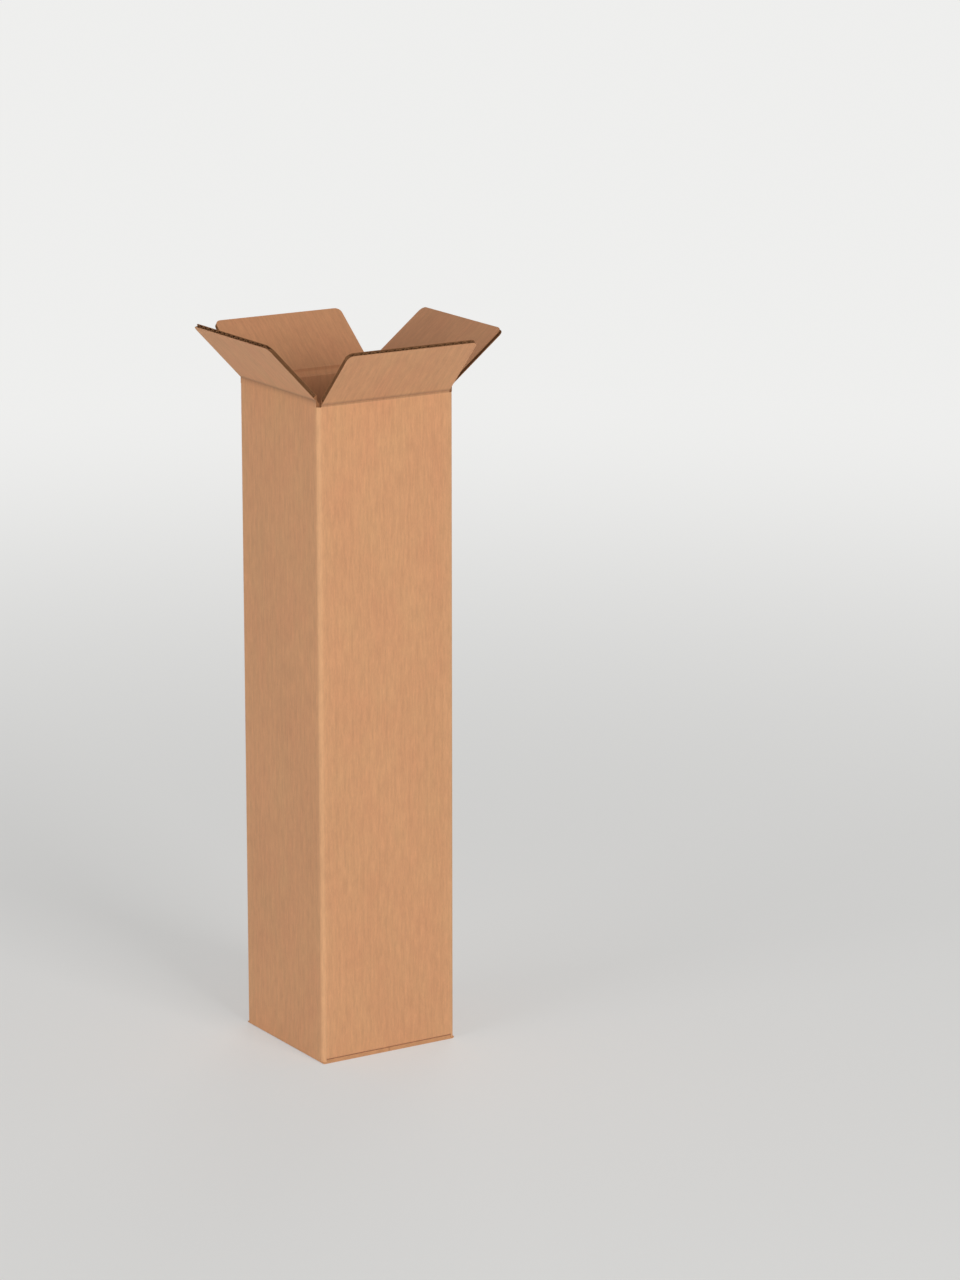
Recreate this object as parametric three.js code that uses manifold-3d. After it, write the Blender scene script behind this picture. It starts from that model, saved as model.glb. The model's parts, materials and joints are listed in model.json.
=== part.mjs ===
import * as THREE from "three";
import { mergeVertices } from "three/addons/utils/BufferGeometryUtils.js";
import Module from "manifold-3d";

// A tall regular slotted carton in B flute board, standing open: the bottom flaps are shut, and the
// four top flaps lean outward. Millimetres, +Z up, origin at the middle of the base.
// The front panel faces -Y and the left panel faces -X.

// Inside of the carton with its flaps shut
const insideWidth = 101.6; // left to right, along X
const insideDepth = 101.6; // front to back, along Y
const insideHeight = 457.2; // along Z

// Corrugated board
const boardThickness = 2.8;
const linerThickness = 0.35;
const mediumThickness = 0.35; // the wavy sheet between the two liners
const flutePitch = 6.5;
const layerGap = 0.3; // between two layers of board that lie on each other

// Upright folds and the glued joint
const cornerRadius = 3; // outside of an upright fold
const tabWidth = 32; // glue tab inside the back panel, folded from the right panel
const tabTaper = 9; // how much shorter the tab is at its free edge, at each end
const tabSetback = 6; // between the tab's ends and the shut flaps
const rawEdgeSetback = 0.8; // from the back panel's cut edge to the right panel's outer face
const tabFoldAngle = 75; // degrees of the tab's fold that show before the back panel covers it

// Bottom flaps
const bottomFoldRadius = 3; // outside of a bottom fold
const seamGap = 0.6; // between the free edges of two flaps that meet

// Slots between the flaps
const innerFlapClearance = 0.3; // beside a front or back flap, between it and the side panel
const outerFlapInset = 1.8; // from the side of a left or right flap to the carton's outer face
const slotEdgeGap = 0.1; // how much wider a slot is cut in the panel than beside the flap
const slotBelowCrease = 1.2; // how far a slot runs past the lower pair of creases

// Top creases and flaps
const creaseGap = 0.3; // between the two crushed faces of a crease when its flap is shut
const hingeStandoff = 0.15; // from the outer liner to the line that a top flap turns about
const crushedLength = 6; // board pressed flat above a top crease, where the flutes are closed
const flapCornerRadius = 4.5;
const frontTilt = 43.5; // degrees that each top flap leans outward from upright
const backTilt = 51.5;
const leftTilt = 43.5;
const rightTilt = 51.5;

// Facets
const arcSegments = 6; // in a quarter turn
const fluteSegments = 5; // along the wavy side of one flute channel
const cutMargin = 5; // how far a cutting shape runs past what it cuts

// Sizes that follow
const halfWidth = insideWidth / 2 + boardThickness;
const halfDepth = insideDepth / 2 + boardThickness;
const innerBottomZ = boardThickness + layerGap; // underside of the inner pair of bottom flaps
const floorZ = innerBottomZ + boardThickness;
const innerHingeZ = floorZ + insideHeight + boardThickness + hingeStandoff;
const outerHingeZ = innerHingeZ + boardThickness + layerGap;
const rootGap = creaseGap / Math.SQRT2 + hingeStandoff; // from the hinge line to the board on each side
const innerFlapHalf = insideWidth / 2 - innerFlapClearance;
const outerFlapHalf = halfDepth - outerFlapInset;
const innerFlapLength = halfDepth + hingeStandoff - seamGap / 2;
const outerFlapLength = halfWidth + hingeStandoff - seamGap / 2;
const slotZ = innerHingeZ - slotBelowCrease;

const wasm = await Module();
wasm.setup();

// A closed three.js geometry as a solid that can be joined and cut
function solidOf(geometry) {
  const bare = geometry.clone();
  bare.deleteAttribute("normal");
  bare.deleteAttribute("uv");
  const merged = mergeVertices(bare, 1e-4);
  return new wasm.Manifold(
    new wasm.Mesh({
      numProp: 3,
      vertProperties: new Float32Array(merged.attributes.position.array),
      triVerts: new Uint32Array(merged.index.array),
    }),
  );
}

// The other way round: a solid as a flat-shaded three.js geometry
function geometryOf(solid) {
  const mesh = solid.getMesh();
  const indexed = new THREE.BufferGeometry();
  indexed.setAttribute("position", new THREE.BufferAttribute(mesh.vertProperties, 3));
  indexed.setIndex(new THREE.BufferAttribute(mesh.triVerts, 1));
  const geometry = indexed.toNonIndexed();
  geometry.computeVertexNormals();
  return geometry;
}

function extruded(shape, depth) {
  return new THREE.ExtrudeGeometry(shape, {
    depth,
    bevelEnabled: false,
    curveSegments: arcSegments,
  });
}

function polygon(points) {
  return new THREE.Shape(points.map(([u, v]) => new THREE.Vector2(u, v)));
}

// A horizontal slab: its outline lies in the XY plane and runs from lowZ to highZ
function slab(shape, lowZ, highZ) {
  return solidOf(extruded(shape, highZ - lowZ).translate(0, 0, lowZ));
}

// A prism along a panel: its outline is (y, z) as on the front panel, it reaches halfLength to each
// side of the middle, and it is turned about Z to the panel it belongs to
function panelPrism(shape, halfLength, turn) {
  const geometry = extruded(shape, 2 * halfLength).translate(0, 0, -halfLength);
  const outlineToYz = new THREE.Matrix4().makeBasis(
    new THREE.Vector3(0, 1, 0),
    new THREE.Vector3(0, 0, 1),
    new THREE.Vector3(1, 0, 0),
  );
  geometry.applyMatrix4(outlineToYz);
  geometry.rotateZ(turn);
  return solidOf(geometry);
}

function box(lowX, highX, lowY, highY, lowZ, highZ) {
  const geometry = new THREE.BoxGeometry(highX - lowX, highY - lowY, highZ - lowZ);
  geometry.translate((lowX + highX) / 2, (lowY + highY) / 2, (lowZ + highZ) / 2);
  return solidOf(geometry);
}

// The four sides of the carton, as the turn about Z from the front panel and what differs between
// the pairs: the front and back flaps shut first, and the left and right flaps shut over them
const sides = {
  front: { turn: 0, outer: false, tilt: frontTilt },
  right: { turn: Math.PI / 2, outer: true, tilt: rightTilt },
  back: { turn: Math.PI, outer: false, tilt: backTilt },
  left: { turn: -Math.PI / 2, outer: true, tilt: leftTilt },
};

function pairSizes(side) {
  if (side.outer) {
    return {
      reach: halfWidth,
      hingeZ: outerHingeZ,
      flapHalf: outerFlapHalf,
      flapLength: outerFlapLength,
      bottomZ: 0,
      panelHalf: outerFlapHalf + slotEdgeGap,
    };
  }
  return {
    reach: halfDepth,
    hingeZ: innerHingeZ,
    flapHalf: innerFlapHalf,
    flapLength: innerFlapLength,
    bottomZ: innerBottomZ,
    panelHalf: innerFlapHalf + slotEdgeGap,
  };
}

// Plan of the four panels. At the back right corner the right panel folds into the glue tab, and
// the back panel ends in a cut edge that laps over the fold.
function wallPlan() {
  const plan = new THREE.Shape();
  const r = cornerRadius;
  const tabFaceY = halfDepth - boardThickness;
  plan.moveTo(-halfWidth + r, -halfDepth);
  plan.lineTo(halfWidth - r, -halfDepth);
  plan.absarc(halfWidth - r, -halfDepth + r, r, -Math.PI / 2, 0, false);
  plan.lineTo(halfWidth, tabFaceY - r);
  plan.absarc(halfWidth - r, tabFaceY - r, r, 0, THREE.MathUtils.degToRad(tabFoldAngle), false);
  const foldEnd = plan.currentPoint.clone();
  plan.lineTo(foldEnd.x, tabFaceY);
  plan.lineTo(halfWidth - rawEdgeSetback, tabFaceY);
  plan.lineTo(halfWidth - rawEdgeSetback, halfDepth);
  plan.lineTo(-halfWidth + r, halfDepth);
  plan.absarc(-halfWidth + r, halfDepth - r, r, Math.PI / 2, Math.PI, false);
  plan.lineTo(-halfWidth, -halfDepth + r);
  plan.absarc(-halfWidth + r, -halfDepth + r, r, Math.PI, 1.5 * Math.PI, false);
  const inside = new THREE.Path();
  inside.moveTo(-insideWidth / 2, -insideDepth / 2);
  inside.lineTo(-insideWidth / 2, insideDepth / 2);
  inside.lineTo(insideWidth / 2, insideDepth / 2);
  inside.lineTo(insideWidth / 2, -insideDepth / 2);
  inside.closePath();
  plan.holes.push(inside);
  return plan;
}

// What is cut off above a panel: the crushed crease falls at 45 degrees from the outer liner inward
function topCut(side) {
  const { reach, hingeZ, panelHalf } = pairSizes(side);
  const outerY = -reach - cutMargin;
  const innerY = -reach + boardThickness + layerGap;
  const faceZ = hingeZ - rootGap;
  const shape = polygon([
    [outerY, faceZ + cutMargin],
    [innerY, faceZ - (innerY + reach)],
    [innerY, outerHingeZ + cutMargin],
    [outerY, outerHingeZ + cutMargin],
  ]);
  return panelPrism(shape, panelHalf + slotEdgeGap, side.turn);
}

// What is cut off below a panel: the round outside of its bottom fold
function bottomCut(side) {
  const { reach, bottomZ, panelHalf } = pairSizes(side);
  const r = bottomFoldRadius;
  const shape = new THREE.Shape();
  shape.moveTo(-reach + r, bottomZ);
  shape.absarc(-reach + r, bottomZ + r, r, -Math.PI / 2, -Math.PI, true);
  shape.lineTo(-reach - cutMargin, bottomZ + r);
  shape.lineTo(-reach - cutMargin, bottomZ - layerGap / 2);
  shape.lineTo(-reach + r, bottomZ - layerGap / 2);
  shape.closePath();
  return panelPrism(shape, panelHalf, side.turn);
}

// What is cut away under the front and back panels, where the side flaps of the base run past
function underPanelCut(side) {
  const { reach, bottomZ, panelHalf } = pairSizes(side);
  const innerY = -reach + boardThickness + layerGap;
  const shape = polygon([
    [-reach - cutMargin, -cutMargin],
    [innerY, -cutMargin],
    [innerY, bottomZ],
    [-reach - cutMargin, bottomZ],
  ]);
  return panelPrism(shape, panelHalf + slotEdgeGap, side.turn);
}

function bottomFlap(side) {
  const { reach, bottomZ, flapHalf } = pairSizes(side);
  const shape = polygon([
    [-reach + bottomFoldRadius / 2, bottomZ],
    [-seamGap / 2, bottomZ],
    [-seamGap / 2, bottomZ + boardThickness],
    [-reach + bottomFoldRadius / 2, bottomZ + boardThickness],
  ]);
  return panelPrism(shape, flapHalf, side.turn);
}

// Each slot is two boxes at a corner: one ends the front or back panel, the other the side panel,
// which at the glued joint ends where it folds into the tab
function slotPair(signX, signY, lowZ, highZ) {
  const jointed = signX > 0 && signY > 0;
  const panelEndX = innerFlapHalf + slotEdgeGap;
  const panelEndY = jointed ? insideDepth / 2 : outerFlapHalf + slotEdgeGap;
  const farX = halfWidth + cutMargin;
  const farY = halfDepth + cutMargin;
  const span = (sign, near, far) => (sign > 0 ? [near, far] : [-far, -near]);
  const inFront = box(
    ...span(signX, panelEndX, insideWidth / 2),
    ...span(signY, insideDepth / 2, farY),
    lowZ,
    highZ,
  );
  const atSide = box(
    ...span(signX, panelEndX, farX),
    ...span(signY, panelEndY, farY),
    lowZ,
    highZ,
  );
  return inFront.add(atSide);
}

function glueTab() {
  const nearX = insideWidth / 2 + layerGap;
  const farX = insideWidth / 2 - tabWidth;
  const lowZ = floorZ + tabSetback;
  const highZ = floorZ + insideHeight - tabSetback;
  const outline = polygon([
    [nearX, lowZ],
    [nearX, highZ],
    [farX, highZ - tabTaper],
    [farX, lowZ + tabTaper],
  ]);
  const geometry = extruded(outline, boardThickness + layerGap);
  geometry.rotateX(Math.PI / 2); // the outline now stands in the XZ plane and runs toward -Y
  geometry.translate(0, insideDepth / 2 + layerGap, 0);
  return solidOf(geometry);
}

// One folded sheet: four panels, the glue tab and the four shut bottom flaps
function cartonBody() {
  let body = slab(wallPlan(), 0, outerHingeZ);
  for (const side of [sides.front, sides.back]) body = body.subtract(underPanelCut(side));
  for (const signX of [-1, 1]) {
    for (const signY of [-1, 1]) {
      body = body.subtract(slotPair(signX, signY, slotZ, outerHingeZ + cutMargin));
      body = body.subtract(slotPair(signX, signY, -cutMargin, innerBottomZ + slotBelowCrease));
    }
  }
  for (const side of Object.values(sides)) {
    body = body.add(bottomFlap(side)).subtract(topCut(side)).subtract(bottomCut(side));
  }
  return geometryOf(body.add(glueTab()));
}

// Outline of a top flap in the plane of its board: u along the crease, v away from the hinge line
function flapOutline(half, length) {
  const r = flapCornerRadius;
  const shape = new THREE.Shape();
  shape.moveTo(-half, rootGap);
  shape.lineTo(half, rootGap);
  shape.lineTo(half, length - r);
  shape.absarc(half - r, length - r, r, 0, Math.PI / 2, false);
  shape.lineTo(-half + r, length);
  shape.absarc(-half + r, length - r, r, Math.PI / 2, Math.PI, false);
  shape.closePath();
  return shape;
}

// Section of one flute channel beside a trough of the medium: flat along its liner, curved along
// the medium. facing is 1 on the inner liner's side and -1 on the outer liner's side.
function fluteSection(centreX, facing) {
  const midY = hingeStandoff + boardThickness / 2;
  const linerY = boardThickness / 2 - linerThickness;
  const swing = linerY - mediumThickness / 2;
  const halfSpan = flutePitch / 2 - mediumThickness;
  const points = [
    [centreX - halfSpan, midY + facing * linerY],
    [centreX + halfSpan, midY + facing * linerY],
  ];
  for (let i = 1; i < fluteSegments; i += 1) {
    const x = halfSpan - (2 * halfSpan * i) / fluteSegments;
    const wave = -swing * Math.cos((2 * Math.PI * x) / flutePitch) + mediumThickness / 2;
    points.push([centreX + x, midY + facing * wave]);
  }
  return polygon(facing > 0 ? points : points.reverse());
}

// The flute channels of a flap: open at its free edge, closed by the crushed board at its crease
function fluteChannels(half, length) {
  const startZ = rootGap + crushedLength;
  const halfTurns = Math.floor((2 * half - flutePitch) / (flutePitch / 2));
  let channels = null;
  for (let i = 0; i < halfTurns; i += 1) {
    const centreX = (i - (halfTurns - 1) / 2) * (flutePitch / 2);
    const geometry = extruded(fluteSection(centreX, i % 2 ? 1 : -1), length + cutMargin - startZ);
    geometry.translate(0, 0, startZ);
    const channel = solidOf(geometry);
    channels = channels ? channels.add(channel) : channel;
  }
  return channels;
}

// A top flap standing upright on its hinge line, as on the front panel: the crease runs along X,
// the outer liner faces -Y, and the root is crushed to a 45 degree bevel on the inner side
function topFlap(half, length) {
  const board = extruded(flapOutline(half, length), boardThickness);
  board.rotateX(Math.PI / 2); // the outline now stands in the XZ plane and runs toward -Y
  board.translate(0, hingeStandoff + boardThickness, 0);
  const bevel = polygon([
    [hingeStandoff - layerGap, rootGap - layerGap],
    [hingeStandoff + boardThickness + layerGap, rootGap - layerGap],
    [hingeStandoff + boardThickness + layerGap, rootGap + boardThickness + layerGap],
  ]);
  const solid = solidOf(board)
    .subtract(panelPrism(bevel, half + cutMargin, 0))
    .subtract(fluteChannels(half, length));
  return geometryOf(solid);
}

const bodyBoard = new THREE.MeshStandardMaterial({ color: 0xc89770, roughness: 0.9, metalness: 0 });
const flapBoard = new THREE.MeshStandardMaterial({ color: 0xb88c68, roughness: 0.9, metalness: 0 });

const carton = new THREE.Group();

const body = new THREE.Mesh(cartonBody(), bodyBoard);
body.name = "carton_body";
carton.add(body);

for (const [name, side] of Object.entries(sides)) {
  const { reach, hingeZ, flapHalf, flapLength } = pairSizes(side);
  const flap = new THREE.Mesh(topFlap(flapHalf, flapLength), flapBoard);
  flap.name = name + "_flap";
  flap.position.set(0, -reach - hingeStandoff, hingeZ);
  flap.rotation.x = THREE.MathUtils.degToRad(side.tilt);
  const panel = new THREE.Group();
  panel.rotation.z = side.turn;
  panel.add(flap);
  carton.add(panel);
}

export default carton;
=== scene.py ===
import json
import math

import bmesh
import bpy
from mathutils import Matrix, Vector


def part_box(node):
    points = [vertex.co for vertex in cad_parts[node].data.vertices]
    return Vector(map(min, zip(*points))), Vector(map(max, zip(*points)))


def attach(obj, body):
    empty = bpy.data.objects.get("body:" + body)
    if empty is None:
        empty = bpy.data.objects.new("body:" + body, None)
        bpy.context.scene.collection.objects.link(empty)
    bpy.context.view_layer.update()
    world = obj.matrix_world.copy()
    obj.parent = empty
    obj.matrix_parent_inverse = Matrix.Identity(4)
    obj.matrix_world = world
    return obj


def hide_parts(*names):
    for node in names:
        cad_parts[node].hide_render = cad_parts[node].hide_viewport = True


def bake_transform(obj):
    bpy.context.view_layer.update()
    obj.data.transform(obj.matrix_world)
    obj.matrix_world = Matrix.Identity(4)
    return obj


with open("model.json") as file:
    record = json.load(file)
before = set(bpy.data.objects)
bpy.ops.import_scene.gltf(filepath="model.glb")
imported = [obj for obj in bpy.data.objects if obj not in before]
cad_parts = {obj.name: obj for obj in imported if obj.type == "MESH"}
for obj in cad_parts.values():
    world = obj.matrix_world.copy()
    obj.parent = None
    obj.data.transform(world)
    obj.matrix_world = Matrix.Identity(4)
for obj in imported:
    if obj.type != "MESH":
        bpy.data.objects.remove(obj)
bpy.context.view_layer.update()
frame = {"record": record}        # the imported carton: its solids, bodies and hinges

# Board of the whole carton, in metres
board = {
    "thickness": 0.0028,
    "liner": 0.00035,        # each of the two flat sheets
    "medium": 0.0003,        # the wavy sheet between them
    "flutePitch": 0.0065,
    "creaseCore": 0.0008,    # what is left of the board in a crushed crease
    "creaseHalf": 0.0003,    # half the width of its thinnest line
    "creaseSlope": 1.25,     # how fast the board thickens beside that line
    "creaseRows": (0.0015, 0.0019, 0.0023),     # rows of points where it is thick again
    "slotEnd": 0.0012,       # the slots end this far under the lower creases
    "standoff": 0.00015,     # outer liner to the line a top flap turns about
}

near = 1e-5       # how close a point has to be to count as on a line
nearTab = 0.001   # the same for the faces of the glue tab

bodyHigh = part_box("carton_body")[1]
halfWidth = bodyHigh[0]
halfDepth = bodyHigh[1]
panelWidth = 2 * halfWidth


# Where each side of the carton stands: its turn from the front panel, and its hinge

def readSides():
    turns = {"front": 0.0, "right": 90.0, "back": 180.0, "left": -90.0}
    places = {"front": 0, "right": 1, "back": 2, "left": -1}
    sides = {}
    for joint in frame["record"]["behaviour"]["joints"]:
        name = joint["child"].split("_")[0]
        low = joint["range_deg"][0]
        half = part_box(joint["child"])
        across = 0 if name in ("front", "back") else 1
        sides[name] = {
            "body": joint["child"],
            "hinge": Vector(joint["pos_m"]),
            "lean": math.radians(-low - 90.0),     # shut is level, so this is the lean at rest
            "turn": math.radians(turns[name]),
            "half": half[1][across],
            "place": places[name] * panelWidth,    # where the panel lies on the unfolded sheet
            "reach": halfDepth if across == 0 else halfWidth,
        }
    return sides


sides = readSides()
lowHinge = min(side["hinge"].z for side in sides.values())
highHinge = max(side["hinge"].z for side in sides.values())
middleHeight = highHinge / 2
slotHeight = lowHinge - board["slotEnd"]


# Small helpers for work in edit mode

def clearSelection():
    if bpy.context.object and bpy.context.object.mode != "OBJECT":
        bpy.ops.object.mode_set(mode="OBJECT")
    bpy.ops.object.select_all(action="DESELECT")


def takeAlone(piece):
    clearSelection()
    piece.select_set(True)
    bpy.context.view_layer.objects.active = piece


def pick(kind, test):
    bpy.ops.mesh.select_mode(type=kind)
    bpy.ops.mesh.select_all(action="DESELECT")
    mesh = bmesh.from_edit_mesh(bpy.context.edit_object.data)
    if kind == "VERT":
        for vert in mesh.verts:
            vert.select = test(vert.co)
    elif kind == "EDGE":
        for edge in mesh.edges:
            first, last = edge.verts[0].co, edge.verts[1].co
            edge.select = all(test(point) for point in (first, last, (first + last) / 2))
    else:
        for face in mesh.faces:
            face.select = all(test(vert.co) for vert in face.verts)
    mesh.select_flush_mode()
    bmesh.update_edit_mesh(bpy.context.edit_object.data)


def pickFacing(axis, least):
    bpy.ops.mesh.select_mode(type="FACE")
    bpy.ops.mesh.select_all(action="DESELECT")
    mesh = bmesh.from_edit_mesh(bpy.context.edit_object.data)
    mesh.normal_update()
    for face in mesh.faces:
        face.select = abs(face.normal[axis]) > least
    mesh.select_flush_mode()
    bmesh.update_edit_mesh(bpy.context.edit_object.data)


def extrudeBy(x, y, z):
    bpy.ops.mesh.extrude_region_move(TRANSFORM_OT_translate={"value": (x, y, z)})


def moveBy(x, y, z):
    bpy.ops.transform.translate(value=(x, y, z))


def sliceAt(point, normal, **clear):
    bpy.ops.mesh.select_all(action="SELECT")
    bpy.ops.mesh.bisect(plane_co=point, plane_no=normal, **clear)


def spread(low, high, count):
    return [low + (high - low) * i / count for i in range(count + 1)]


def applyModifier(piece, modifier):
    bpy.context.view_layer.objects.active = piece
    bpy.ops.object.modifier_apply(modifier=modifier.name)


# The tint is the material of the outer side, of the inner side and of the cut edge

def giveThickness(piece, thickness, shares=None, tint=(0, 1, 2)):
    wall = piece.modifiers.new("wall", "SOLIDIFY")
    wall.thickness = thickness
    wall.offset = -1.0               # inward from the outer liner
    wall.use_even_offset = True
    wall.material_offset = tint[1] - tint[0]
    wall.material_offset_rim = tint[2] - tint[0]
    if shares:
        wall.vertex_group = shares
    applyModifier(piece, wall)


def settle(piece, turn=0.0, lean=0.0, place=(0, 0, 0)):
    takeAlone(piece)
    piece.rotation_euler = (lean, 0.0, turn)
    piece.location = place
    bpy.ops.object.transform_apply(location=True, rotation=True, scale=True)


def softEdges(piece, degrees=35.0):
    takeAlone(piece)
    bpy.ops.object.shade_smooth_by_angle(angle=math.radians(degrees))


# Each point of the board knows its place on the unfolded sheet (along, up), how much painted shade
# it gets along a crease and how much rub wear and painted highlight on a fold; the materials read
# these

def writeSheet(piece, read):
    mesh = piece.data
    mesh.attributes.new("sheetPlace", "FLOAT_VECTOR", "POINT")
    mesh.attributes.new("crushed", "FLOAT", "POINT")
    mesh.attributes.new("rubAndHighlight", "FLOAT", "POINT")
    values = [read(vert.co) for vert in mesh.vertices]
    places = [number for value in values for number in (value[0], value[1], 0.0)]
    mesh.attributes["sheetPlace"].data.foreach_set("vector", places)
    mesh.attributes["crushed"].data.foreach_set("value", [value[2] for value in values])
    mesh.attributes["rubAndHighlight"].data.foreach_set("value", [value[3] for value in values])


# Materials

kraft = {
    "outside": (0.615, 0.312, 0.158),
    # painted shade: the same paper as the outside, made darker for the inner faces
    "inside": (0.580, 0.276, 0.137),
    "pink": (1.03, 0.955, 0.96),       # the pulp drifts between these two shades of its colour
    "yellow": (0.97, 1.04, 1.0),
    "wornAndHighlight": (1.06, 1.12, 1.12),        # and this is its shade where a fold is rubbed and carries a painted highlight
    "blush": 1.28,                     # how far it drifts
    "streaks": 0.22,                   # how strongly the fibres streak the liner
    "mottle": 0.17,
    "fluteShade": 0.015,               # the flutes showing through the liner
    "creaseShade": 0.34,               # painted shade: how much darker the outer liner is on a crease
    "innerCreaseShade": -0.05,         # painted highlight: the inner one is a little lighter there
    "fluteDepth": 0.00002,
    "innerFluteDepth": 0.00003,
    "streakHeight": 0.00006,
    "fibreHeight": 0.00004,
    "bump": 0.6,
    "roughness": 0.80,
    "gloss": 0.3,
    "sheen": 0.12,
    "sheenRoughness": 0.45,
}

# Noise in the liner: its scale along and up the sheet, its detail and its roughness
grain = {
    "streak": ((620.0, 75.0, 1.0), 4.0, 0.66),
    "fibre": ((2300.0, 420.0, 1.0), 3.0, 0.6),
    "mottle": ((110.0, 60.0, 1.0), 5.0, 0.64),
    "patch": ((18.0, 9.0, 1.0), 3.0, 0.55),
    "drift": ((40.0, 18.0, 1.0), 3.0, 0.6),
}

# The cut edges of the board and its fluted medium
raw = {
    # partly the cut board's own colour, partly painted shade of the open flute hollows
    "cutEdgeAndFluteShade": (0.290, 0.130, 0.058),
    "baseEdge": (0.560, 0.287, 0.143),
    "medium": (0.270, 0.130, 0.058),
    "fibre": ((1500.0, 1500.0, 1500.0), 4.0, 0.65),
    "clump": ((300.0, 120.0, 1.0), 3.0, 0.6),
    "shade": 0.55,           # the darkest shade, and what fibres and clumps add to it
    "fibreShade": 0.5,
    "clumpShade": 0.4,
    "bump": 0.8,
    "bumpHeight": 0.0002,
    "roughness": 0.95,
    "gloss": 0.15,
}


class Nodes:
    def __init__(self, name):
        self.material = bpy.data.materials.new(name)
        self.material.use_nodes = True
        self.tree = self.material.node_tree
        self.shader = self.tree.nodes["Principled BSDF"]
        self.column = 0

    def add(self, kind, **values):
        node = self.tree.nodes.new(kind)
        self.column += 1
        node.location = (-1800 + 180 * (self.column % 9), 400 - 260 * (self.column // 9))
        for key, value in values.items():
            setattr(node, key, value)
        return node

    def link(self, source, target):
        self.tree.links.new(source, target)

    def connect(self, value, socket):
        if isinstance(value, tuple):
            socket.default_value = value + (1.0,)
        elif isinstance(value, (int, float)):
            socket.default_value = value
        else:
            self.link(value, socket)

    def attribute(self, name, output):
        return self.add("ShaderNodeAttribute", attribute_name=name).outputs[output]

    def math(self, operation, first, second, clamp=False):
        node = self.add("ShaderNodeMath", operation=operation, use_clamp=clamp)
        self.connect(first, node.inputs[0])
        self.connect(second, node.inputs[1])
        return node.outputs[0]

    def addShare(self, total, value, strength):
        return self.math("ADD", total, self.math("MULTIPLY", value, strength))

    def addDrift(self, total, value, strength, clamp=False):
        centred = self.math("SUBTRACT", value, 0.5)
        return self.math("ADD", total, self.math("MULTIPLY", centred, strength), clamp)

    def noise(self, vector, scale, detail, roughness):
        mapping = self.add("ShaderNodeMapping")
        mapping.inputs["Scale"].default_value = scale
        self.link(vector, mapping.inputs["Vector"])
        node = self.add("ShaderNodeTexNoise")
        node.inputs["Scale"].default_value = 1.0
        node.inputs["Detail"].default_value = detail
        node.inputs["Roughness"].default_value = roughness
        self.link(mapping.outputs["Vector"], node.inputs["Vector"])
        return node.outputs["Fac"]

    def scaleColour(self, colour, factor):
        mix = self.add("ShaderNodeMix", data_type="RGBA", blend_type="MULTIPLY")
        mix.inputs["Factor"].default_value = 1.0
        grey = self.add("ShaderNodeCombineColor")
        for socket in grey.inputs:
            self.link(factor, socket)
        self.connect(colour, mix.inputs["A"])
        self.link(grey.outputs["Color"], mix.inputs["B"])
        return mix.outputs["Result"]

    def mixColour(self, first, second, factor):
        mix = self.add("ShaderNodeMix", data_type="RGBA")
        self.connect(factor, mix.inputs["Factor"])
        self.connect(first, mix.inputs["A"])
        self.connect(second, mix.inputs["B"])
        return mix.outputs["Result"]

    def roughen(self, height, strength, distance):
        bump = self.add("ShaderNodeBump")
        bump.inputs["Strength"].default_value = strength
        bump.inputs["Distance"].default_value = distance
        self.link(height, bump.inputs["Height"])
        self.link(bump.outputs["Normal"], self.shader.inputs["Normal"])


def shadeOf(colour, factors):
    return tuple(part * factor for part, factor in zip(colour, factors))


def kraftLiner(name, colour, fluteDepth, creaseShade):
    n = Nodes(name)
    place = n.attribute("sheetPlace", "Vector")
    crushed = n.attribute("crushed", "Fac")
    rubAndHighlight = n.attribute("rubAndHighlight", "Fac")
    noise = {key: n.noise(place, *values) for key, values in grain.items()}
    split = n.add("ShaderNodeSeparateXYZ")
    n.link(place, split.inputs[0])
    phase = n.math("MULTIPLY", split.outputs["X"], 2 * math.pi / board["flutePitch"])
    flute = n.math("SINE", phase, 0.0)
    shade = n.addDrift(1.0, noise["streak"], kraft["streaks"] * 2)
    shade = n.addDrift(shade, noise["fibre"], kraft["streaks"])
    shade = n.addDrift(shade, noise["mottle"], kraft["mottle"])
    shade = n.addDrift(shade, noise["patch"], kraft["mottle"])
    shade = n.addShare(shade, flute, kraft["fluteShade"])
    # painted shade along the creases; on the inner liner a painted highlight
    shade = n.math("SUBTRACT", shade, n.math("MULTIPLY", crushed, creaseShade))
    # worn: rub wear and a painted highlight, lighter and yellower, along the upright folds
    pink, yellow, wornAndHighlight = (shadeOf(colour, kraft[key]) for key in ("pink", "yellow", "wornAndHighlight"))
    blush = n.addDrift(0.5, noise["drift"], kraft["blush"], clamp=True)
    tint = n.mixColour(n.mixColour(pink, yellow, blush), wornAndHighlight, rubAndHighlight)
    n.link(n.scaleColour(tint, shade), n.shader.inputs["Base Color"])
    height = n.addShare(n.math("MULTIPLY", noise["streak"], kraft["streakHeight"]),
                        noise["fibre"], kraft["fibreHeight"])
    n.roughen(n.addShare(height, flute, fluteDepth), kraft["bump"], 1.0)
    n.shader.inputs["Roughness"].default_value = kraft["roughness"]
    n.shader.inputs["Specular IOR Level"].default_value = kraft["gloss"]
    n.shader.inputs["Sheen Weight"].default_value = kraft["sheen"]
    n.shader.inputs["Sheen Roughness"].default_value = kraft["sheenRoughness"]
    return n.material


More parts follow.
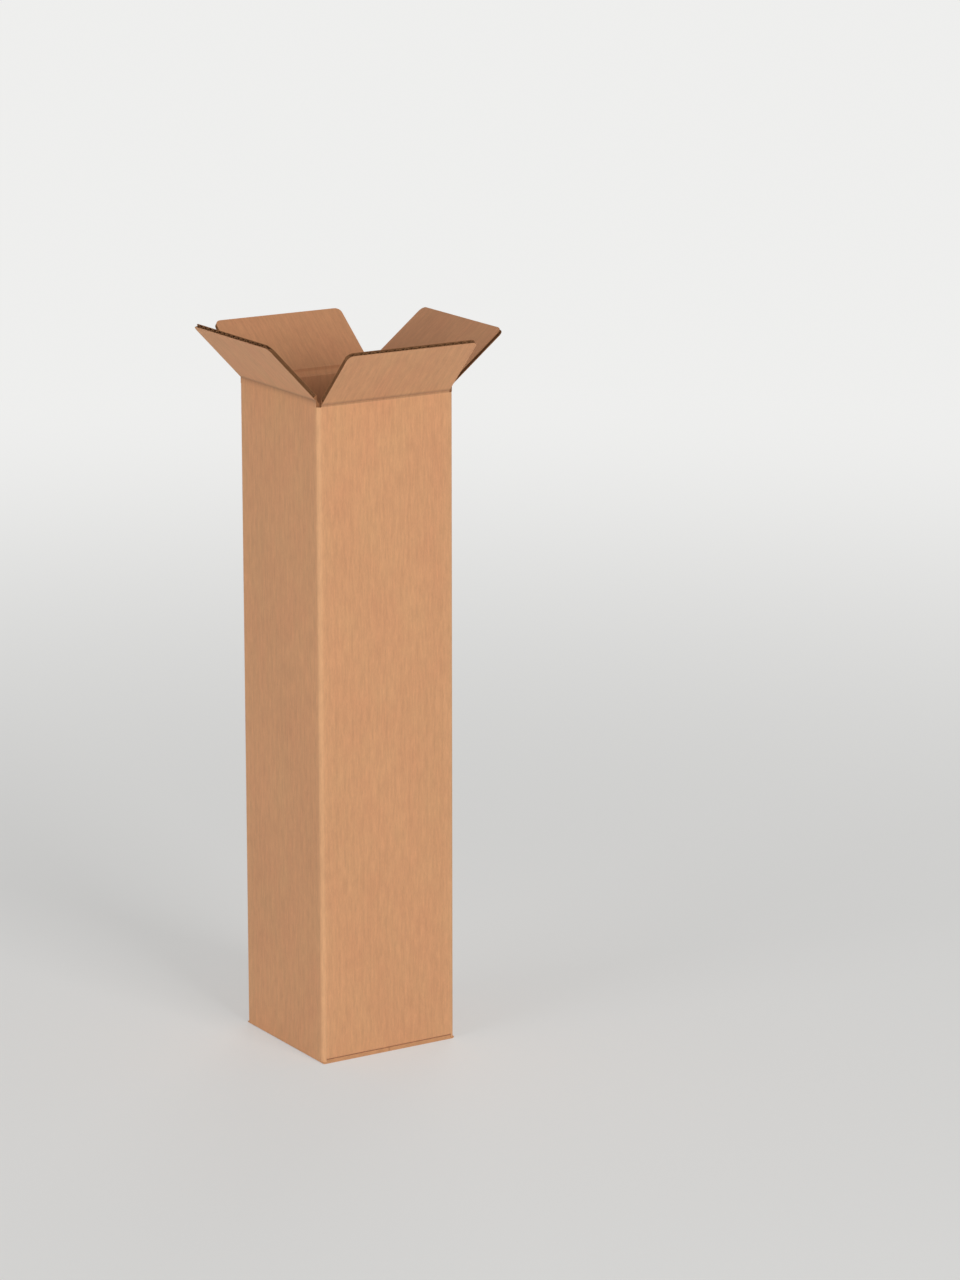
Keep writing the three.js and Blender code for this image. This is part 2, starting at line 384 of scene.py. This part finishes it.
def cutBoard(name, colour):
    n = Nodes(name)
    place = n.attribute("sheetPlace", "Vector")
    coordinates = n.add("ShaderNodeTexCoord")
    fibre = n.noise(coordinates.outputs["Object"], *raw["fibre"])
    clump = n.noise(place, *raw["clump"])
    shade = n.addShare(raw["shade"], fibre, raw["fibreShade"])
    shade = n.addShare(shade, clump, raw["clumpShade"])
    n.link(n.scaleColour(colour, shade), n.shader.inputs["Base Color"])
    n.roughen(fibre, raw["bump"], raw["bumpHeight"])
    n.shader.inputs["Roughness"].default_value = raw["roughness"]
    n.shader.inputs["Specular IOR Level"].default_value = raw["gloss"]
    return n.material


linerOutside = kraftLiner("linerOutside", kraft["outside"], kraft["fluteDepth"], kraft["creaseShade"])
linerInside = kraftLiner("linerInside", kraft["inside"], kraft["innerFluteDepth"],
                         kraft["innerCreaseShade"])
cutEdgeAndFluteShade = cutBoard("cutEdgeAndFluteShade", raw["cutEdgeAndFluteShade"])
baseEdge = cutBoard("baseEdge", raw["baseEdge"])
mediumPaper = cutBoard("mediumPaper", raw["medium"])


def dress(piece, *materials):
    piece.data.materials.clear()
    for material in materials:
        piece.data.materials.append(material)


# Camera, where the photograph was taken from

camera = {
    "place": (-1.5689, -2.6724, 1.0577),
    "azimuth": -32.12,
    "elevation": 13.99,
    "lens": 129.0,
    "sensor": 36.0,
    "clipStart": 0.05,
}


def addCamera():
    clearSelection()
    angles = (math.radians(90.0 - camera["elevation"]), 0.0, math.radians(camera["azimuth"]))
    bpy.ops.object.camera_add(location=camera["place"], rotation=angles)
    made = bpy.context.object
    made.data.lens = camera["lens"]
    made.data.sensor_width = camera["sensor"]
    made.data.clip_start = camera["clipStart"]
    bpy.context.scene.camera = made


addCamera()
print("camera placed")


# The four panels with their upright folds and the glued joint: one sheet, folded

shell = {
    "cornerRadius": 0.003,
    "foldSteps": 6,
    "foldMargin": 0.0006,    # the panels are cut once more this far from each fold
    "rubAndHighlightFull": 1.6,          # how much rub wear and painted highlight a fold has at its line, where 1 shows in full
    "rubAndHighlightReach": 0.0028,      # distance over which that falls by 1
    "tabWidth": 0.032,
    "tabTaper": 0.009,       # drop of the tab's ends towards its free edge
    "tabDrop": 0.006,        # the tab starts this far under the shut flaps
    "tabStub": 0.0008,       # level board between the joint's fold and the tab's slant
    "stubDrop": 0.0025,      # the stub's corner lies this far under the slots
    "rawEdgeSetback": 0.0008,
    "bottom": 0.0045,        # where the lower folds of the front and back panels begin
    "sideBottom": 0.0014,    # where those of the left and right panels begin
    "rows": 28,
    "lastCreaseRow": 0.004,  # one more row under the crushed board
    "columns": 13,
    "crushInset": 0.0005,    # the creases crush the board up to this far from the folds
    "bow": 0.0007,           # how far the middle of a panel stands proud
}


def extrudeArc(radius, start, end, steps):
    last = Vector((math.cos(start), math.sin(start))) * radius
    for angle in spread(start, end, steps)[1:]:
        point = Vector((math.cos(angle), math.sin(angle))) * radius
        extrudeBy(point.x - last.x, point.y - last.y, 0.0)
        last = point


def foldJoint(radius):
    corner = halfWidth - radius
    backCorner = halfDepth - radius
    tabY = halfDepth - board["thickness"]
    drop = shell["tabDrop"] + board["thickness"]
    start = corner - shell["tabStub"]
    end = corner - shell["tabWidth"]

    def onTab(p, x):
        return abs(p.x - x) < near and abs(p.y - tabY) < nearTab

    pick("FACE", lambda p: p.x > corner - near and p.y > backCorner - near)
    bpy.ops.mesh.delete(type="FACE")
    pick("EDGE", lambda p: abs(p.x - corner) < near and abs(p.y - halfDepth) < near)
    extrudeBy(radius - shell["rawEdgeSetback"], 0.0, 0.0)
    pick("EDGE", lambda p: abs(p.x - halfWidth) < near and abs(p.y - backCorner) < near)
    moveBy(0.0, -board["thickness"], 0.0)
    extrudeArc(radius, 0.0, math.pi / 2, shell["foldSteps"])
    extrudeBy(-shell["tabStub"], 0.0, 0.0)
    pick("VERT", lambda p: onTab(p, corner) and p.z > slotHeight - near)
    moveBy(0.0, 0.0, -shell["stubDrop"])
    pick("VERT", lambda p: onTab(p, start) and p.z > slotHeight - near)
    moveBy(0.0, 0.0, -drop)
    pick("VERT", lambda p: onTab(p, start) and p.z < shell["bottom"] + near)
    moveBy(0.0, 0.0, drop)
    pick("EDGE", lambda p: onTab(p, start))
    extrudeBy(shell["tabStub"] - shell["tabWidth"], 0.0, 0.0)
    pick("VERT", lambda p: onTab(p, end) and p.z > middleHeight)
    moveBy(0.0, 0.0, -shell["tabTaper"])
    pick("VERT", lambda p: onTab(p, end) and p.z < middleHeight)
    moveBy(0.0, 0.0, shell["tabTaper"])


def isTab(point):
    inner = halfDepth - board["thickness"] - nearTab
    return point.x > 0 and inner < point.y < halfDepth - nearTab


def sheetAlong(point):
    if isTab(point) and point.x < halfWidth - shell["cornerRadius"]:
        return 1.5 * panelWidth + (halfWidth - point.x)
    if abs(point.y) - halfDepth > abs(point.x) - halfWidth:
        return point.x if point.y < 0 else 2 * panelWidth - point.x
    return panelWidth + point.y if point.x > 0 else -panelWidth - point.y


# Rub wear and a painted highlight along the upright folds, fading away from each fold line
def foldRubAndHighlight(point):
    away = max(halfWidth - abs(point.x), halfDepth - abs(point.y))
    return min(1.0, max(0.0, shell["rubAndHighlightFull"] - away / shell["rubAndHighlightReach"]))


def creaseThickness(away):
    left = board["creaseCore"] + max(0.0, away - board["creaseHalf"]) * board["creaseSlope"]
    return min(1.0, left / board["thickness"])


def bowPanels(piece):
    middle = (shell["bottom"] + slotHeight) / 2
    half = (slotHeight - shell["bottom"]) / 2
    flat = halfWidth - shell["cornerRadius"]
    for vert in piece.data.vertices:
        p = vert.co
        if isTab(p):
            continue
        up = math.cos(math.pi / 2 * min(1.0, abs(p.z - middle) / half))
        if abs(p.x) < flat and abs(p.y) > flat:
            p.y += math.copysign(shell["bow"] * up * math.cos(math.pi / 2 * p.x / flat), p.y)
        elif abs(p.y) < flat and abs(p.x) > flat:
            p.x += math.copysign(shell["bow"] * up * math.cos(math.pi / 2 * p.y / flat), p.x)


def buildShell():
    radius = shell["cornerRadius"]
    low, high = shell["bottom"], slotHeight
    flat = halfWidth - radius
    clearSelection()
    bpy.ops.mesh.primitive_cube_add(size=1.0, location=(0, 0, low + (high - low) / 2))
    piece = bpy.context.object
    piece.name = "cartonPanels"
    piece.scale = (2 * halfWidth, 2 * halfDepth, high - low)
    bpy.ops.object.transform_apply(location=True, rotation=True, scale=True)
    bpy.ops.object.mode_set(mode="EDIT")
    pickFacing(axis=2, least=0.9)
    bpy.ops.mesh.delete(type="FACE")
    mesh = bmesh.from_edit_mesh(piece.data)
    bpy.ops.mesh.select_mode(type="EDGE")
    for edge in mesh.edges:
        edge.select = abs(edge.verts[0].co.z - edge.verts[1].co.z) > (high - low) / 2
    bmesh.update_edit_mesh(piece.data)
    bpy.ops.mesh.bevel(offset=radius, segments=shell["foldSteps"], affect="EDGES", profile=0.5)
    foldJoint(radius)
    pick("EDGE", lambda p: p.z < low + near and abs(p.x) > flat - near)
    extrudeBy(0.0, 0.0, shell["sideBottom"] - low)

    for z in spread(low, high, shell["rows"])[1:-1]:
        sliceAt((0, 0, z), (0, 0, 1))
    for away in board["creaseRows"] + (shell["lastCreaseRow"],):
        sliceAt((0, 0, lowHinge - away), (0, 0, 1))
    margin = flat - shell["foldMargin"]
    for offset in spread(-flat, flat, shell["columns"])[1:-1] + [-margin, margin]:
        sliceAt((offset, 0, 0), (1, 0, 0))
        sliceAt((0, offset, 0), (0, 1, 0))
    bpy.ops.mesh.select_all(action="SELECT")
    bpy.ops.mesh.remove_doubles(threshold=1e-6)
    bpy.ops.mesh.normals_make_consistent(inside=False)
    bpy.ops.object.mode_set(mode="OBJECT")
    bowPanels(piece)

    writeSheet(piece, lambda p: (sheetAlong(p), p.z, 0.0, foldRubAndHighlight(p)))
    shares = piece.vertex_groups.new(name="boardShare")
    for vert in piece.data.vertices:
        crushable = abs(vert.co.x) < flat - shell["crushInset"] and not isTab(vert.co)
        share = creaseThickness(lowHinge - vert.co.z) if crushable and abs(vert.co.y) > flat else 1.0
        shares.add([vert.index], share, "REPLACE")
    dress(piece, linerOutside, linerInside, cutEdgeAndFluteShade)
    giveThickness(piece, board["thickness"], "boardShare")
    softEdges(piece)
    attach(piece, "carton")
    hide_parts("carton_body")


buildShell()
print("panels folded")


# The shut bottom flaps: the panel turns under in a round fold and runs to the seam

base = {
    "foldRadius": shell["sideBottom"],
    "foldSteps": 6,
    "foldShare": 0.45,       # what the crease leaves of the board's thickness
    "flatStart": 0.0015,     # first row of points past the fold
    "rows": 7,
    "columns": 12,
    "seamGap": 0.0003,
    "layerGap": 0.0001,
    "endInset": 0.0003,      # the outer flaps end this far inside the panels' faces
}


def startLine(name, half, columns, first, second):
    clearSelection()
    bpy.ops.mesh.primitive_grid_add(x_subdivisions=columns, y_subdivisions=1, size=1.0)
    piece = bpy.context.object
    piece.name = name
    bpy.ops.object.mode_set(mode="EDIT")
    bpy.ops.mesh.select_all(action="SELECT")
    bpy.ops.transform.resize(value=(2 * half, 1.0, 1.0))
    pick("VERT", lambda p: p.y < 0)
    moveBy(0.0, first[0] + 0.5, first[1])
    pick("VERT", lambda p: p.y > 0.5 - near)
    moveBy(0.0, second[0] - 0.5, second[1])
    return piece


def growSheet(name, half, columns, rows):
    piece = startLine(name, half, columns, rows[0], rows[1])
    last = rows[1]
    pick("VERT", lambda p: abs(p.y - last[0]) < near and abs(p.z - last[1]) < near)
    bpy.ops.mesh.select_mode(type="EDGE")
    for row in rows[2:]:
        extrudeBy(0.0, row[0] - last[0], row[1] - last[1])
        last = row
    bpy.ops.object.mode_set(mode="OBJECT")
    return piece


def faceOutward(piece, outward):
    average = sum((face.normal * face.area for face in piece.data.polygons), Vector())
    if average.dot(outward) < 0:
        bpy.ops.object.mode_set(mode="EDIT")
        bpy.ops.mesh.select_all(action="SELECT")
        bpy.ops.mesh.flip_normals()
        bpy.ops.object.mode_set(mode="OBJECT")


def nearestRow(rows, point):
    return min(rows, key=lambda row: abs(row[0] - point.y) + abs(row[1] - point.z))


def buildBottomFlap(name):
    side = sides[name]
    outerPair = name in ("left", "right")
    foldZ = 0.0 if outerPair else board["thickness"] + base["layerGap"]
    radius = base["foldRadius"]
    reach = side["reach"]
    start = foldZ + radius if outerPair else shell["bottom"]
    rows = [(-reach, start, start)]     # each row: across, up, and its height on the unfolded sheet
    for angle in spread(0.0, math.pi / 2, base["foldSteps"])[1:]:
        y = -reach + radius * (1 - math.cos(angle))
        z = foldZ + radius * (1 - math.sin(angle))
        rows.append((y, z, foldZ + radius - radius * angle))
    foldEnd, foldUp = rows[-1][0], rows[-1][2]
    flatRows = spread(foldEnd, -base["seamGap"] / 2, base["rows"])[1:]
    for y in [foldEnd + base["flatStart"]] + flatRows:
        rows.append((y, foldZ, foldUp - (y - foldEnd)))
    half = side["half"] if not outerPair else halfDepth - base["endInset"]
    piece = growSheet(name + "BottomFlap", half, base["columns"], rows)
    faceOutward(piece, Vector((0, -1, -1)))
    writeSheet(piece, lambda p: (side["place"] + p.x, nearestRow(rows, p)[2], 0.0, 0.0))
    shares = piece.vertex_groups.new(name="boardShare")
    for vert in piece.data.vertices:
        inFold = vert.co.y < foldEnd + near and vert.co.z < foldZ + radius + near
        shares.add([vert.index], base["foldShare"] if inFold else 1.0, "REPLACE")
    dress(piece, linerOutside, linerInside, baseEdge)
    giveThickness(piece, board["thickness"], "boardShare")
    settle(piece, side["turn"])
    softEdges(piece)
    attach(piece, "carton")


for name in sides:
    buildBottomFlap(name)
print("bottom flaps shut")


# The crushed top creases: one strip of board each, thin at the line where it bends

crease = {
    "bendReach": 0.0009,     # the bend takes place this far to each side of the hinge line
    "above": 0.003,          # how far the strip reaches up its flap
    "rows": (0.0003, 0.0006, 0.0009, 0.0012) + board["creaseRows"],
    "columns": 62,
    "shadeReach": 0.0030,
    "flutePinch": 0.10,      # how much the flutes dent the crushed board
    "pinchBelow": 0.95,      # they dent it where less than this share of it is left
    "softAngle": 50.0,
}


def creaseSteps(below):
    lower = [-step for step in crease["rows"] if step < below - near]
    return sorted(lower + [-round(below, 6), 0.0, crease["above"]] + list(crease["rows"]))


def bend(away, lean):
    share = min(1.0, max(0.0, 0.5 + away / (2 * crease["bendReach"])))
    angle = lean * share * share * (3 - 2 * share)
    y = board["standoff"]
    return (y * math.cos(angle) - away * math.sin(angle), y * math.sin(angle) + away * math.cos(angle))


def buildCrease(name):
    side = sides[name]
    steps = creaseSteps(side["hinge"].z - slotHeight)
    rows = [bend(away, side["lean"]) + (away,) for away in steps]
    piece = growSheet(name + "Crease", side["half"], crease["columns"], rows)
    faceOutward(piece, Vector((0, -1, 0)))

    def read(p):
        away = nearestRow(rows, p)[2]
        # painted shade along the crease line, fading over shadeReach
        crush = max(0.0, 1.0 - abs(away) / crease["shadeReach"])
        return (side["place"] + p.x, side["hinge"].z + away, crush, 0.0)

    writeSheet(piece, read)
    shares = piece.vertex_groups.new(name="boardShare")
    for vert in piece.data.vertices:
        share = creaseThickness(abs(nearestRow(rows, vert.co)[2]))
        if share < crease["pinchBelow"]:
            wave = math.cos(2 * math.pi * vert.co.x / board["flutePitch"])
            share = min(share, share * (1 + crease["flutePinch"] * wave))
        shares.add([vert.index], share, "REPLACE")
    dress(piece, linerOutside, linerInside, cutEdgeAndFluteShade)
    giveThickness(piece, board["thickness"], "boardShare")
    settle(piece, side["turn"], 0.0, side["hinge"])
    softEdges(piece, crease["softAngle"])
    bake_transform(piece)


for name in sides:
    buildCrease(name)
print("creases crushed")


# The top flaps: two liners and the fluted medium between them, open at the free edge

flap = {
    "cornerRadius": 0.0045,
    "cornerSteps": 6,
    "cornerCuts": (22.5, 45.0, 67.5),   # where the medium is trimmed round a corner, in degrees
    "cell": 0.007,           # size of a cell in a liner's grid
    "fluteSteps": 12,
    "mediumRows": 6,
    "mediumSetback": 0.0003,
    "softAngle": 50.0,
}


def linerSheet(name, half, low, high):
    clearSelection()
    bpy.ops.mesh.primitive_plane_add(size=1.0, location=(0, 0, 0))
    piece = bpy.context.object
    piece.name = name
    piece.rotation_euler = (math.pi / 2, 0, 0)
    piece.scale = (2 * half, high - low, 1.0)
    piece.location = (0, 0, (high + low) / 2)
    bpy.ops.object.transform_apply(location=True, rotation=True, scale=True)
    bpy.ops.object.mode_set(mode="EDIT")
    pick("VERT", lambda p: p.z > high - near)
    bpy.ops.mesh.bevel(offset=flap["cornerRadius"], segments=flap["cornerSteps"], affect="VERTICES")
    for x in spread(-half, half, round(2 * half / flap["cell"]))[1:-1]:
        sliceAt((x, 0, 0), (1, 0, 0))
    for z in spread(low, high, round((high - low) / flap["cell"]))[1:-1]:
        sliceAt((0, 0, z), (0, 0, 1))
    bpy.ops.object.mode_set(mode="OBJECT")
    faceOutward(piece, Vector((0, -1, 0)))
    return piece


def mediumSheet(name, half, low, high):
    pitch = board["flutePitch"]
    swing = board["thickness"] / 2 - board["liner"] - board["medium"] / 2
    dx = pitch / flap["fluteSteps"]
    clearSelection()
    bpy.ops.mesh.primitive_grid_add(x_subdivisions=1, y_subdivisions=flap["mediumRows"], size=1.0)
    piece = bpy.context.object
    piece.name = name
    piece.rotation_euler = (math.pi / 2, 0, 0)
    piece.scale = (dx, high - low, 1.0)
    piece.location = (-half + dx / 2, 0, (high + low) / 2)
    bpy.ops.object.transform_apply(location=True, rotation=True, scale=True)
    bpy.ops.object.mode_set(mode="EDIT")

    def wave(step):
        return swing * math.cos(2 * math.pi * step / flap["fluteSteps"])

    pick("VERT", lambda p: p.x < -half + near)
    moveBy(0.0, wave(0), 0.0)
    pick("VERT", lambda p: p.x > -half + dx - near)
    moveBy(0.0, wave(1), 0.0)
    pick("EDGE", lambda p: p.x > -half + dx - near)
    for step in range(2, flap["fluteSteps"] + 1):
        extrudeBy(dx, wave(step) - wave(step - 1), 0.0)
    bpy.ops.object.mode_set(mode="OBJECT")
    repeat = piece.modifiers.new("flutes", "ARRAY")
    repeat.count = math.ceil(2 * half / pitch)
    repeat.use_relative_offset = False
    repeat.use_constant_offset = True
    repeat.constant_offset_displace = (pitch, 0, 0)
    repeat.use_merge_vertices = True
    repeat.merge_threshold = 2 * near
    applyModifier(piece, repeat)
    bpy.ops.object.mode_set(mode="EDIT")
    edge = half - flap["mediumSetback"]
    sliceAt((edge, 0, 0), (1, 0, 0), clear_outer=True)
    sliceAt((-edge, 0, 0), (1, 0, 0), clear_inner=True)
    centre = Vector((edge - flap["cornerRadius"], 0, high - flap["cornerRadius"]))
    for angle in flap["cornerCuts"]:
        out = Vector((math.cos(math.radians(angle)), 0, math.sin(math.radians(angle))))
        point = centre + out * flap["cornerRadius"]
        sliceAt(point, out, clear_outer=True)
        sliceAt((-point.x, 0, point.z), (-out.x, 0, out.z), clear_outer=True)
    bpy.ops.object.mode_set(mode="OBJECT")
    faceOutward(piece, Vector((0, -1, 0)))
    return piece


def buildFlap(name):
    side = sides[name]
    half = side["half"]
    low = crease["above"]
    high = side["reach"] + board["standoff"] - base["seamGap"] / 2

    def read(p):
        return (side["place"] + p.x, side["hinge"].z + p.z, 0.0, 0.0)

    outer = linerSheet(name + "Flap", half, low, high)
    dress(outer, linerOutside, linerInside, cutEdgeAndFluteShade, mediumPaper)
    writeSheet(outer, read)
    giveThickness(outer, board["liner"], tint=(0, 3, 2))
    settle(outer, place=(0, board["standoff"], 0))
    inner = linerSheet(name + "Inner", half, low, high)
    dress(inner, mediumPaper, linerInside, cutEdgeAndFluteShade)
    writeSheet(inner, read)
    giveThickness(inner, board["liner"])
    settle(inner, place=(0, board["standoff"] + board["thickness"] - board["liner"], 0))
    medium = mediumSheet(name + "Medium", half, low, high - flap["mediumSetback"])
    dress(medium, mediumPaper)
    writeSheet(medium, read)
    settle(medium, place=(0, board["standoff"] + board["thickness"] / 2 - board["medium"] / 2, 0))
    giveThickness(medium, board["medium"], tint=(0, 0, 0))
    takeAlone(outer)
    for part in (inner, medium):
        part.select_set(True)
    bpy.ops.object.join()
    settle(outer, side["turn"], side["lean"], side["hinge"])
    softEdges(outer, flap["softAngle"])
    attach(outer, side["body"])
    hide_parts(side["body"])


for name in sides:
    buildFlap(name)
print("top flaps hung")


# Floor, backdrop and light

studio = {
    "floorSize": 80.0,
    "floorColour": (0.80, 0.80, 0.79),
    "floorRoughness": 0.9,
    "floorGloss": 0.1,
    "backdropColour": (0.86, 0.86, 0.85),
    "backdropNear": 0.4,     # share of the backdrop's even tone in the floor beside the carton
    "fadeFrom": 0.4,         # from here to there the share grows to all of it
    "fadeTo": 2.4,
    "worldColour": (1.0, 0.99, 0.975),
    "worldStrength": 0.31,
    "key": {"power": 132.0, "size": 2.0, "distance": 5.0, "azimuth": 3.0, "elevation": 18.0},
    "fill": {"power": 76.0, "size": 2.1, "distance": 4.0, "azimuth": -82.0, "elevation": 5.0},
    "rear": {"power": 50.0, "size": 2.4, "distance": 5.0, "azimuth": 138.0, "elevation": 12.0},
}


def seenRay(tree):
    path = tree.nodes.new("ShaderNodeLightPath")
    total = path.outputs["Is Camera Ray"]
    for name in ("Is Glossy Ray", "Is Transmission Ray"):
        add = tree.nodes.new("ShaderNodeMath")
        add.operation = "MAXIMUM"
        tree.links.new(total, add.inputs[0])
        tree.links.new(path.outputs[name], add.inputs[1])
        total = add.outputs[0]
    return total


def addFloor():
    clearSelection()
    bpy.ops.mesh.primitive_plane_add(size=studio["floorSize"], location=(0, 0, 0))
    floor = bpy.context.object
    floor.name = "floor"
    n = Nodes("paleFloor")
    n.connect(studio["floorColour"], n.shader.inputs["Base Color"])
    n.shader.inputs["Roughness"].default_value = studio["floorRoughness"]
    n.shader.inputs["Specular IOR Level"].default_value = studio["floorGloss"]
    distance = n.add("ShaderNodeVectorMath", operation="LENGTH")
    n.link(n.add("ShaderNodeTexCoord").outputs["Object"], distance.inputs[0])
    fade = n.add("ShaderNodeMapRange", interpolation_type="SMOOTHSTEP")
    fade.inputs["From Min"].default_value = studio["fadeFrom"]
    fade.inputs["From Max"].default_value = studio["fadeTo"]
    fade.inputs["To Min"].default_value = studio["backdropNear"]
    n.link(distance.outputs["Value"], fade.inputs["Value"])
    share = n.math("MULTIPLY", fade.outputs["Result"], seenRay(n.tree), clamp=True)
    even = n.add("ShaderNodeEmission")
    n.connect(studio["backdropColour"], even.inputs["Color"])
    blend = n.add("ShaderNodeMixShader")
    n.link(share, blend.inputs[0])
    n.link(n.shader.outputs[0], blend.inputs[1])
    n.link(even.outputs[0], blend.inputs[2])
    n.link(blend.outputs[0], n.tree.nodes["Material Output"].inputs["Surface"])
    dress(floor, n.material)


def addWorld():
    world = bpy.data.worlds.new("studio")
    bpy.context.scene.world = world
    world.use_nodes = True
    nodes, links = world.node_tree.nodes, world.node_tree.links
    background = nodes["Background"]
    background.inputs["Color"].default_value = studio["worldColour"] + (1.0,)
    background.inputs["Strength"].default_value = studio["worldStrength"]
    seen = nodes.new("ShaderNodeBackground")
    seen.inputs["Color"].default_value = studio["backdropColour"] + (1.0,)
    seen.inputs["Strength"].default_value = 1.0
    mix = nodes.new("ShaderNodeMixShader")
    links.new(seenRay(world.node_tree), mix.inputs[0])
    links.new(background.outputs[0], mix.inputs[1])
    links.new(seen.outputs[0], mix.inputs[2])
    links.new(mix.outputs[0], nodes["World Output"].inputs["Surface"])


def addLamp(name):
    clearSelection()
    lamp = studio[name]
    turn = math.radians(lamp["azimuth"])
    rise = math.radians(lamp["elevation"])
    away = Vector((math.sin(turn) * math.cos(rise), -math.cos(turn) * math.cos(rise), math.sin(rise)))
    target = Vector((0, 0, middleHeight))
    bpy.ops.object.light_add(type="AREA", location=target + away * lamp["distance"])
    made = bpy.context.object
    made.name = name + "Lamp"
    made.rotation_euler = away.to_track_quat("Z", "Y").to_euler()
    made.data.size = lamp["size"]
    made.data.energy = lamp["power"]


addFloor()
addWorld()
for name in ("key", "fill", "rear"):
    addLamp(name)
bpy.context.scene.view_settings.view_transform = "Standard"
print("studio lit")
